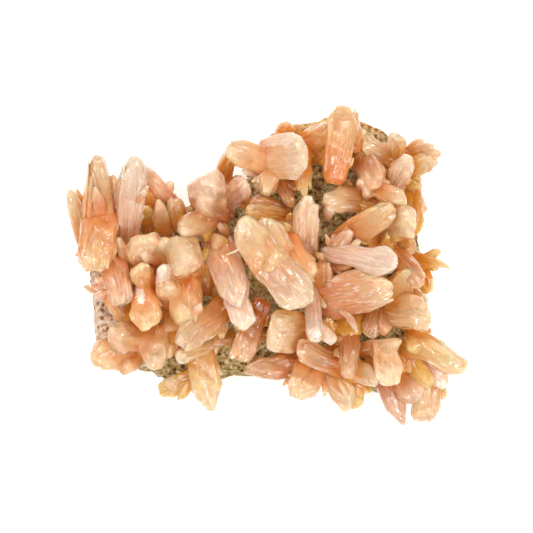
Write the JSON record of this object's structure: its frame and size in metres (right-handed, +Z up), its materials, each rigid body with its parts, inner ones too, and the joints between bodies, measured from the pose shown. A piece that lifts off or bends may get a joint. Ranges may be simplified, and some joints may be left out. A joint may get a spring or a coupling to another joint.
{
  "type": "mineral specimen, stilbite with mordenite",
  "caption": "Cabinet mineral specimen: peach stilbite crystals radiating from a mordenite-crusted rock plate that lies on a flat base.",
  "frame": {"origin": "a point near the middle of the flat base, in the plane of that base", "axes": "+X to the right and +Y away from the viewer as the specimen shows in the picture seen from above, +Z up, out of the crust towards the crystals"},
  "size_m": [0.1217, 0.0967, 0.04],
  "materials": {
    "stilbite": "pearly, waxy, fine striations along the blades",
    "mordenite_crust": "matt, sugary, porous"
  },
  "bodies": {
    "root": {"mordenite_matrix": "mordenite_crust", "west_spire": "stilbite", "west_wall": "stilbite", "striped_pillar": "stilbite", "slanted_pillar": "stilbite", "west_boulders": "stilbite", "fan_sheaf": "stilbite", "southwest_lumps": "stilbite", "recess_prisms": "stilbite", "twin_bones": "stilbite", "grey_blade": "stilbite", "north_crown": "stilbite", "north_capsule": "stilbite", "north_tower": "stilbite", "northeast_slab": "stilbite", "northeast_tongues": "stilbite", "northeast_shard": "stilbite", "northeast_fan": "stilbite", "amber_lobe": "stilbite", "northeast_mass": "stilbite", "long_bar": "stilbite", "east_plank": "stilbite", "east_lump": "stilbite", "east_capsule": "stilbite", "mirror_blade": "stilbite", "east_blade": "stilbite", "east_blocks": "stilbite", "east_diagonal": "stilbite", "east_small": "stilbite", "amber_spur": "stilbite", "shadow_prisms": "stilbite", "pink_stick": "stilbite", "south_post": "stilbite", "centre_sheaf": "stilbite", "centre_leaf": "stilbite", "ribbed_crystal": "stilbite", "pink_plank": "stilbite", "southwest_lances": "stilbite", "south_leaves": "stilbite", "south_spindle": "stilbite", "south_dome": "stilbite", "ribbed_column": "stilbite", "south_beam": "stilbite", "south_block": "stilbite", "south_legs": "stilbite", "south_pebble": "stilbite", "curl_pair": "stilbite", "southeast_tusk": "stilbite", "southeast_fans": "stilbite", "southwest_tooth": "stilbite"}
  },
  "joints": []
}
